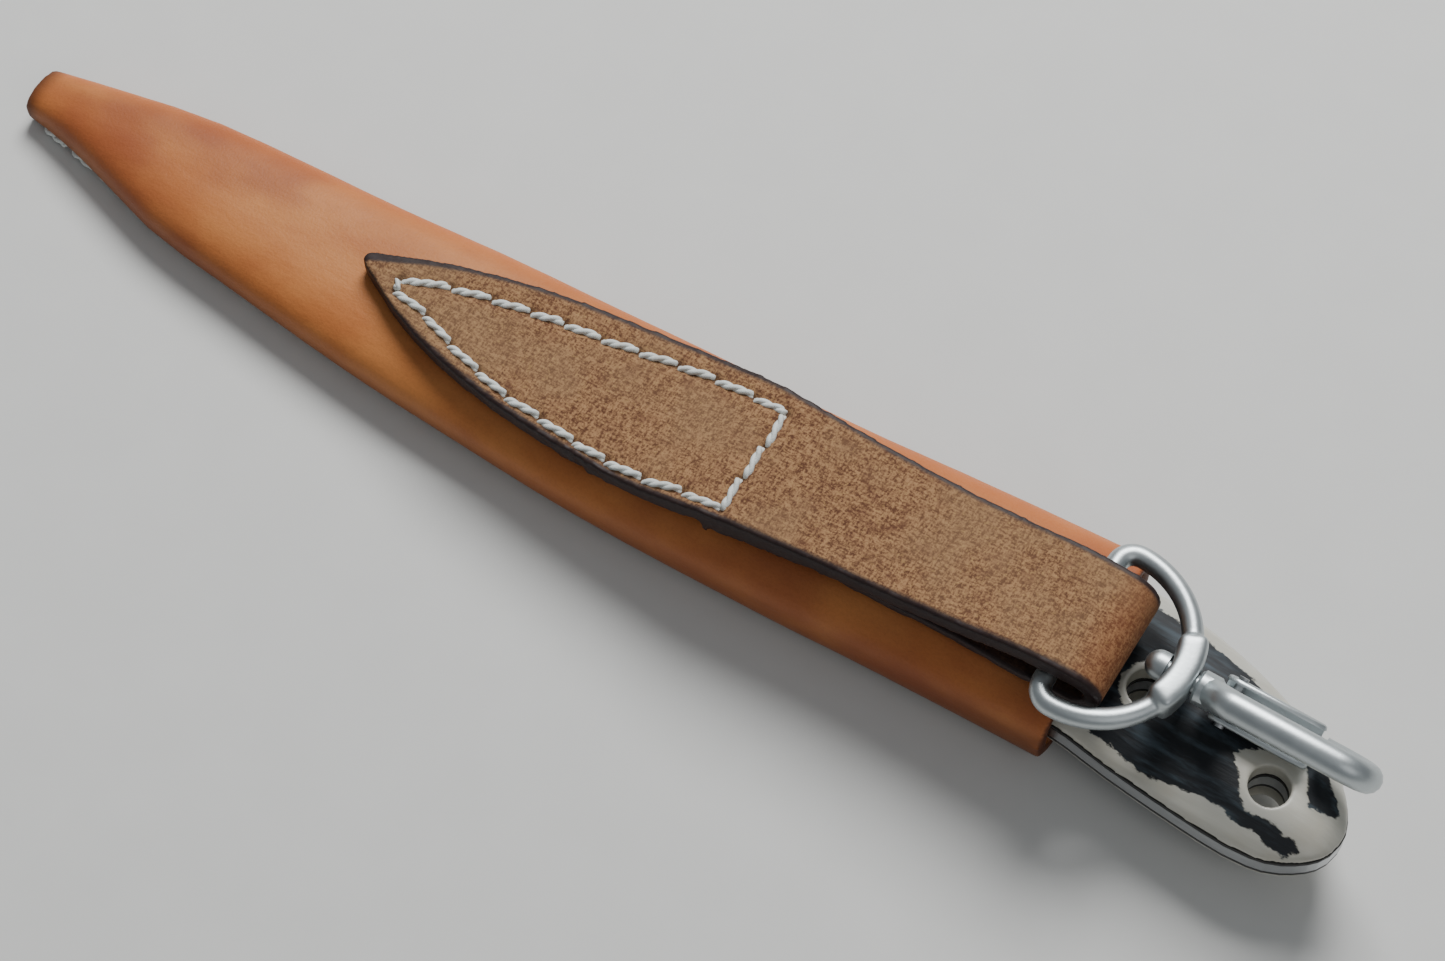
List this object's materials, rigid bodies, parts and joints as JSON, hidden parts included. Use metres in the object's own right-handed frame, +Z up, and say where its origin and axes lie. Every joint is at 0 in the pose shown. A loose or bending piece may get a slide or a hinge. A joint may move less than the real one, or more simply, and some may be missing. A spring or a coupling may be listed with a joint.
{
  "type": "sheathed belt knife with hanger strap and swivel snap hook",
  "caption": "Full-tang fixed-blade knife with bark-bone handle in a slim tan leather pouch sheath, hung by a stitched rough-leather strap and swivel snap hook.",
  "frame": {"origin": "middle of the bounding box's base: the sheath lies on its front, with the hanger strap on top", "axes": "+X from the sheath's tip to the knife's butt, +Y across towards the blade's spine, +Z up, from the sheath's front to its back"},
  "size_m": [0.218, 0.033, 0.0265],
  "materials": {
    "blade_steel": "satin ground carbon or stainless steel",
    "liner": "black vulcanised fibre",
    "bone": "polished bone with dark bark left in the hollows",
    "pin_steel": "ground flush",
    "sheath_leather": "tan vegetable-tanned leather, smooth side out",
    "welt_leather": "tan leather strip",
    "thread": "white waxed twisted thread",
    "strap_leather": "rough side out, dark burnished edges",
    "snap_steel": "satin stainless steel",
    "spring_steel": "bright spring wire"
  },
  "bodies": {
    "sheath": {"sheath_body": "sheath_leather", "sheath_welt": "welt_leather", "sheath_thread": "thread", "hanger_strap": "strap_leather", "strap_thread": "thread"},
    "knife": {"blade": "blade_steel", "liner_upper": "liner", "liner_lower": "liner", "scale_upper": "bone", "scale_lower": "bone", "handle_pin_front": "pin_steel", "handle_pin_rear": "pin_steel"},
    "eye": {"swivel_eye": "snap_steel"},
    "hook": {"hook_body": "snap_steel", "swivel_rivet": "snap_steel", "gate_pin": "snap_steel", "gate_spring": "spring_steel"},
    "gate": {"gate": "snap_steel"}
  },
  "joints": [
    {"name": "knife_draw", "type": "slide", "parent": "sheath", "child": "knife", "axis": [0.9997, 0, 0.0262], "range_m": [0, 0.215]},
    {"name": "eye_swing", "type": "hinge", "parent": "sheath", "child": "eye", "pos_m": [0.06612, -0.00146, 0.0208], "axis": [0, -1, 0], "range_deg": [0, 140]},
    {"name": "hook_swivel", "type": "hinge", "parent": "eye", "child": "hook", "pos_m": [0.08302, -0.00146, 0.0208], "axis": [1, 0, 0], "continuous": true},
    {"name": "gate_open", "type": "hinge", "parent": "hook", "child": "gate", "pos_m": [0.08762, 0.00028, 0.01753], "axis": [0, -0.8829, -0.4695], "range_deg": [0, 22], "stiffness_Nm_per_rad": 0.02, "springref_deg": -20.05, "deforming": ["gate_spring"]}
  ]
}
